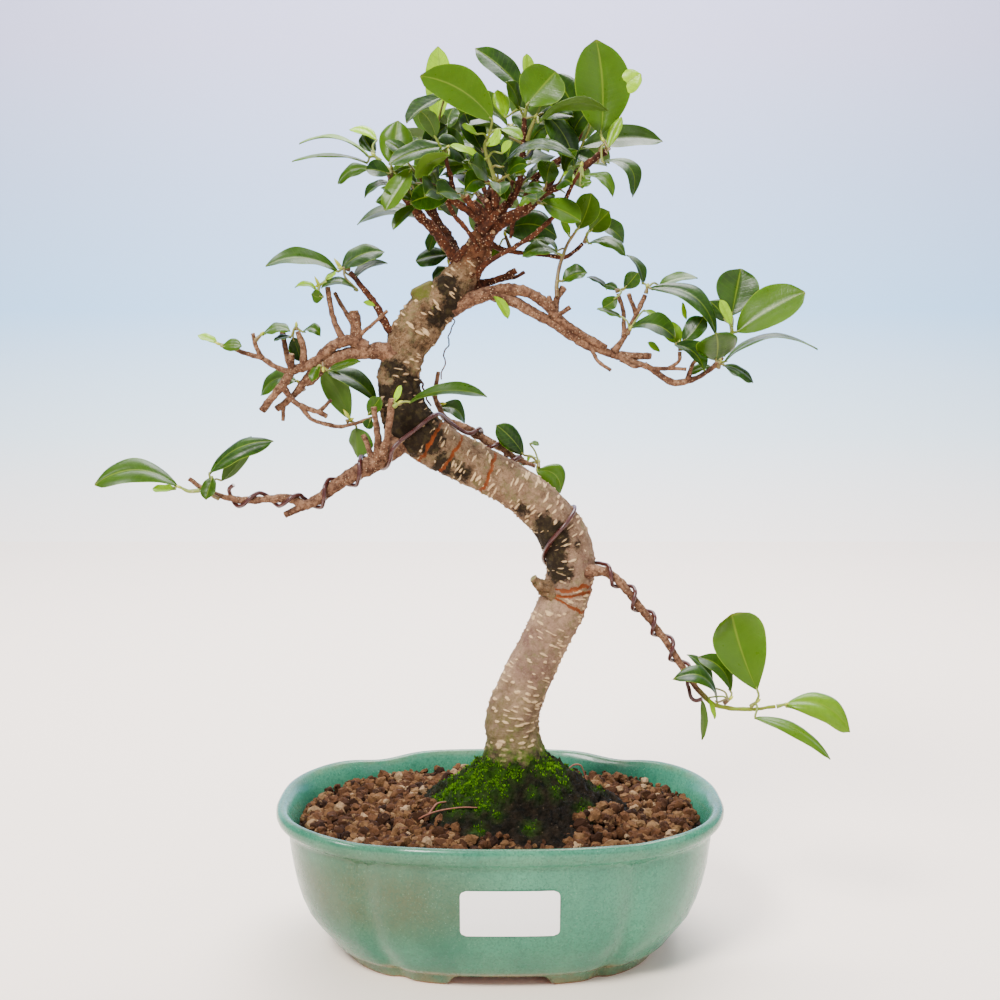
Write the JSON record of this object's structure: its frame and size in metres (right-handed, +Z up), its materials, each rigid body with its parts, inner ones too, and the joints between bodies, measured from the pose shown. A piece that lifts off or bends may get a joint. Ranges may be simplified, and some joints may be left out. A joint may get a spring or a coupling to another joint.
{
  "type": "bonsai tree in a pot",
  "caption": "Fig bonsai with an S-curved trunk, sparse pruned branches, wound training wires and glossy leaves, in a low lobed oval glazed pot filled with clay grains and moss.",
  "frame": {"origin": "bottom centre of the whole object's bounding box, on the surface the pot's feet stand on", "axes": "+Z up along the tree; -Y towards the front of the tree, where the pot's label is; +X to the right seen from the front, along the pot's long side"},
  "size_m": [0.4036, 0.175, 0.4908],
  "materials": {
    "glaze": "satin mottled jade green glaze, thinner and browner on edges, bare terracotta under the feet",
    "drain_mesh": "matte black plastic lattice",
    "soil": "loose fired-clay grains of 3 to 8 mm, brown to reddish brown",
    "moss": "dark damp soil covered with short bright green moss",
    "label": "blank white paper sticker",
    "bark": "pale grey-beige bark with raised cream lenticels, rougher and darker higher up",
    "young_bark": "reddish brown bark with pale specks and cream cut ends",
    "wire": "dark red-brown anodised aluminium wire",
    "leaf": "glossy dark to lime green upper faces with a pale midrib, paler and duller undersides"
  },
  "bodies": {
    "root": {"pot": "glaze", "drain_mesh_left": "drain_mesh", "drain_mesh_right": "drain_mesh", "soil": "soil", "moss_mound": "moss", "label": "label", "trunk": "bark", "branch_left_upper": "young_bark", "branch_left_lower": "young_bark", "branch_back": "young_bark", "branch_right": "young_bark", "branch_right_lowest": "young_bark", "crown_left": "young_bark", "crown_front": "young_bark", "crown_right": "young_bark", "wire_left": "wire", "wire_right": "wire", "shoot_left_top": "leaf", "shoot_left_fork": "leaf", "shoot_left_far": "leaf", "shoot_left_spur": "leaf", "shoot_left_mid": "leaf", "shoot_left_under": "leaf", "shoot_left_hanging": "leaf", "shoot_left_inner": "leaf", "shoot_left_strand": "leaf", "shoot_low_tip": "leaf", "shoot_low_mid": "leaf", "shoot_low_upright": "leaf", "shoot_back_twig": "leaf", "shoot_back_end": "leaf", "shoot_lowest_tip": "leaf", "shoot_lowest_big": "leaf", "shoot_lowest_inner": "leaf", "shoot_right_upright": "leaf", "shoot_right_cup": "leaf", "shoot_right_twig": "leaf", "shoot_right_mid": "leaf", "shoot_right_side": "leaf", "shoot_right_low": "leaf", "shoot_right_tip": "leaf", "shoot_right_outer": "leaf", "shoot_crown_left": "leaf", "shoot_crown_left_round": "leaf", "shoot_crown_left_far": "leaf", "shoot_crown_front_left": "leaf", "shoot_crown_front": "leaf", "shoot_crown_back_left": "leaf", "shoot_crown_top": "leaf", "shoot_crown_top_side": "leaf", "shoot_crown_right_tip": "leaf", "shoot_crown_right_up": "leaf", "shoot_crown_right_long": "leaf", "shoot_crown_right_low": "leaf", "shoot_crown_under": "leaf", "shoot_crown_left_under": "leaf", "shoot_back_top": "leaf", "shoot_back_right": "leaf", "shoot_back_left": "leaf", "shoot_back_low": "leaf"}
  },
  "joints": []
}
